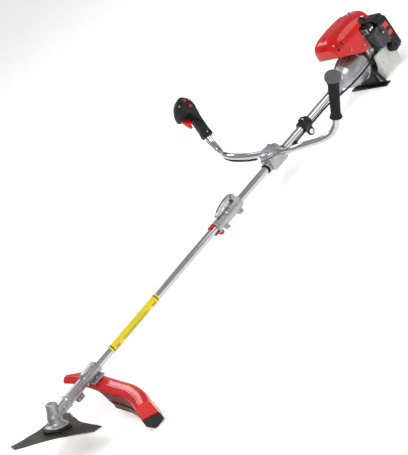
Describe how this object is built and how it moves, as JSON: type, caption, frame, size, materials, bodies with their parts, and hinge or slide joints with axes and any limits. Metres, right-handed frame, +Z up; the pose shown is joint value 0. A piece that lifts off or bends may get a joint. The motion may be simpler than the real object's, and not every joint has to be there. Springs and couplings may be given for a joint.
{
  "type": "brush cutter",
  "caption": "Petrol brush cutter: toothed blade and geared head on a split shaft with bull handlebar, shielded by a wide guard and driven by a small clutch engine.",
  "frame": {"origin": "centre of the bounding box's bottom face; z = 0 is the floor that the guard and the engine stand rest on", "axes": "+X along the shaft from the blade to the engine, +Z up, +Y to the operator's right"},
  "size_m": [1.9632, 0.8256, 0.3574],
  "materials": {
    "black_plastic": "fine-textured black",
    "black_rubber": "matt black",
    "blade_paint": "dark olive-grey satin coat",
    "cast_aluminium": "as cast, fine-blasted",
    "ceramic": "glazed white",
    "grey_plastic": "mid grey",
    "polished_tube": "bright drawn",
    "red_plastic": "gloss red",
    "steel": "turned",
    "tank_plastic": "milky translucent"
  },
  "bodies": {
    "upper_unit": {"upper_tube": "polished_tube", "coupler_body": "cast_aluminium", "handlebar_clamp_base": "cast_aluminium", "handlebar_clamp_cap": "cast_aluminium", "throttle_cable_tube": "black_rubber", "clutch_housing": "cast_aluminium", "crankcase": "cast_aluminium", "cylinder": "cast_aluminium", "spark_plug": "ceramic", "plug_boot": "black_rubber", "ignition_coil": "black_plastic", "carburettor": "cast_aluminium", "air_cleaner": "grey_plastic", "muffler": "steel", "engine_shroud": "red_plastic", "fan_housing": "grey_plastic", "starter_housing": "black_plastic", "fuel_tank": "tank_plastic", "engine_stand": "black_plastic"},
    "lower_unit": {"lower_tube": "polished_tube", "gear_case": "cast_aluminium", "gear_head_bearing": "steel", "wrap_guard": "black_plastic", "guard": "red_plastic", "guard_skirt": "black_plastic", "guard_bracket": "cast_aluminium", "guard_bolt_left": "steel", "guard_bolt_right": "steel", "coupler_clip": "red_plastic"},
    "blade_rotor": {"output_shaft": "steel", "crown_gear": "steel", "blade_flange": "steel", "cutting_blade": "blade_paint", "blade_cup": "steel", "blade_nut": "steel"},
    "lower_drive": {"lower_drive_shaft": "steel", "pinion_gear": "steel"},
    "upper_drive": {"upper_drive_shaft": "steel", "clutch_drum": "steel"},
    "crank": {"crankshaft": "steel", "flywheel": "cast_aluminium", "clutch_shoes": "steel"},
    "piston": {"piston": "cast_aluminium"},
    "coupler_lever": {"coupler_lever": "cast_aluminium"},
    "coupler_pin": {"coupler_pin": "red_plastic"},
    "handlebar": {"handlebar_right": "polished_tube", "handlebar_left": "polished_tube", "left_grip": "black_rubber", "handle_shell_inner": "black_plastic", "handle_shell_outer": "black_plastic", "throttle_cable_bar": "black_rubber"},
    "throttle_trigger": {"throttle_trigger": "red_plastic"},
    "lockout_lever": {"lockout_lever": "red_plastic"},
    "stop_switch": {"stop_switch": "red_plastic"},
    "start_lock_button": {"start_lock_button": "red_plastic"},
    "harness_hanger": {"harness_hanger": "black_plastic"},
    "choke_lever": {"choke_lever": "black_plastic"},
    "primer_bulb": {"primer_bulb": "ceramic"},
    "fuel_cap": {"fuel_cap": "black_plastic"},
    "starter_grip": {"starter_grip": "black_plastic"}
  },
  "joints": [
    {"name": "lower_unit_slide", "type": "slide", "parent": "upper_unit", "child": "lower_unit", "axis": [-0.9996, 0, 0.0285], "range_m": [0, 0.085]},
    {"name": "blade_spin", "type": "hinge", "parent": "lower_unit", "child": "blade_rotor", "pos_m": [-0.82786, -0.00014, 0.1471], "axis": [0.4404, -0.0635, 0.8956], "continuous": true},
    {"name": "lower_drive_spin", "type": "hinge", "parent": "lower_unit", "child": "lower_drive", "pos_m": [-0.42802, -0.00014, 0.13571], "axis": [0.9996, 0, -0.0285], "continuous": true},
    {"name": "upper_drive_spin", "type": "hinge", "parent": "upper_unit", "child": "upper_drive", "pos_m": [0.37166, -0.00014, 0.11292], "axis": [0.9996, 0, -0.0285], "continuous": true},
    {"name": "crank_spin", "type": "hinge", "parent": "upper_unit", "child": "crank", "pos_m": [0.84546, -0.00014, 0.09942], "axis": [0.9996, 0, -0.0285], "continuous": true},
    {"name": "piston_slide", "type": "slide", "parent": "upper_unit", "child": "piston", "axis": [0.0285, 0, 0.9996], "range_m": [-0.013, 0.013]},
    {"name": "coupler_lever_hinge", "type": "hinge", "parent": "upper_unit", "child": "coupler_lever", "pos_m": [0.09869, -0.00014, 0.15321], "axis": [0, 1, 0], "range_deg": [0, 95]},
    {"name": "coupler_pin_slide", "type": "slide", "parent": "upper_unit", "child": "coupler_pin", "axis": [-0.0285, 0, -0.9996], "range_m": [0, 0.006], "stiffness_N_per_m": 900, "springref_m": -0.004},
    {"name": "handlebar_tilt", "type": "hinge", "parent": "upper_unit", "child": "handlebar", "pos_m": [0.31845, -0.00014, 0.14145], "axis": [0, 1, 0], "range_deg": [-18, 18]},
    {"name": "throttle_trigger_hinge", "type": "hinge", "parent": "handlebar", "child": "throttle_trigger", "pos_m": [0.36653, 0.37861, 0.30823], "axis": [0.0112, -0.9191, 0.3938], "range_deg": [0, 11], "stiffness_Nm_per_rad": 0.8, "springref_deg": -17.19},
    {"name": "lockout_lever_hinge", "type": "hinge", "parent": "handlebar", "child": "lockout_lever", "pos_m": [0.40414, 0.35783, 0.25865], "axis": [0.0112, -0.9191, 0.3938], "range_deg": [0, 6], "stiffness_Nm_per_rad": 0.3, "springref_deg": -17.19},
    {"name": "stop_switch_press", "type": "slide", "parent": "handlebar", "child": "stop_switch", "axis": [-0.0112, 0.9191, -0.3938], "range_m": [0, 0.003], "stiffness_N_per_m": 400, "springref_m": -0.002},
    {"name": "start_lock_press", "type": "slide", "parent": "handlebar", "child": "start_lock_button", "axis": [-0.0112, 0.9191, -0.3938], "range_m": [0, 0.003], "stiffness_N_per_m": 400, "springref_m": -0.002},
    {"name": "hanger_slide", "type": "slide", "parent": "upper_unit", "child": "harness_hanger", "axis": [0.9996, 0, -0.0285], "range_m": [-0.015, 0.045]},
    {"name": "choke_lever_hinge", "type": "hinge", "parent": "upper_unit", "child": "choke_lever", "pos_m": [0.89992, -0.10434, 0.14989], "axis": [0, -1, 0], "range_deg": [0, 60]},
    {"name": "primer_press", "type": "slide", "parent": "upper_unit", "child": "primer_bulb", "axis": [0, 1, 0], "range_m": [0, 0.004], "stiffness_N_per_m": 300, "springref_m": -0.002},
    {"name": "fuel_cap_turn", "type": "hinge", "parent": "upper_unit", "child": "fuel_cap", "pos_m": [0.9051, -0.09044, 0.08571], "axis": [0, -1, 0], "range_deg": [0, 270]},
    {"name": "starter_pull", "type": "slide", "parent": "upper_unit", "child": "starter_grip", "axis": [0, 1, 0], "range_m": [0, 0.3], "stiffness_N_per_m": 40, "springref_m": -0.15}
  ],
  "couplings": [
    {"joint": "lower_drive_spin", "follows": "blade_spin", "ratio": 1.3333},
    {"joint": "upper_drive_spin", "follows": "blade_spin", "ratio": 1.3333}
  ]
}
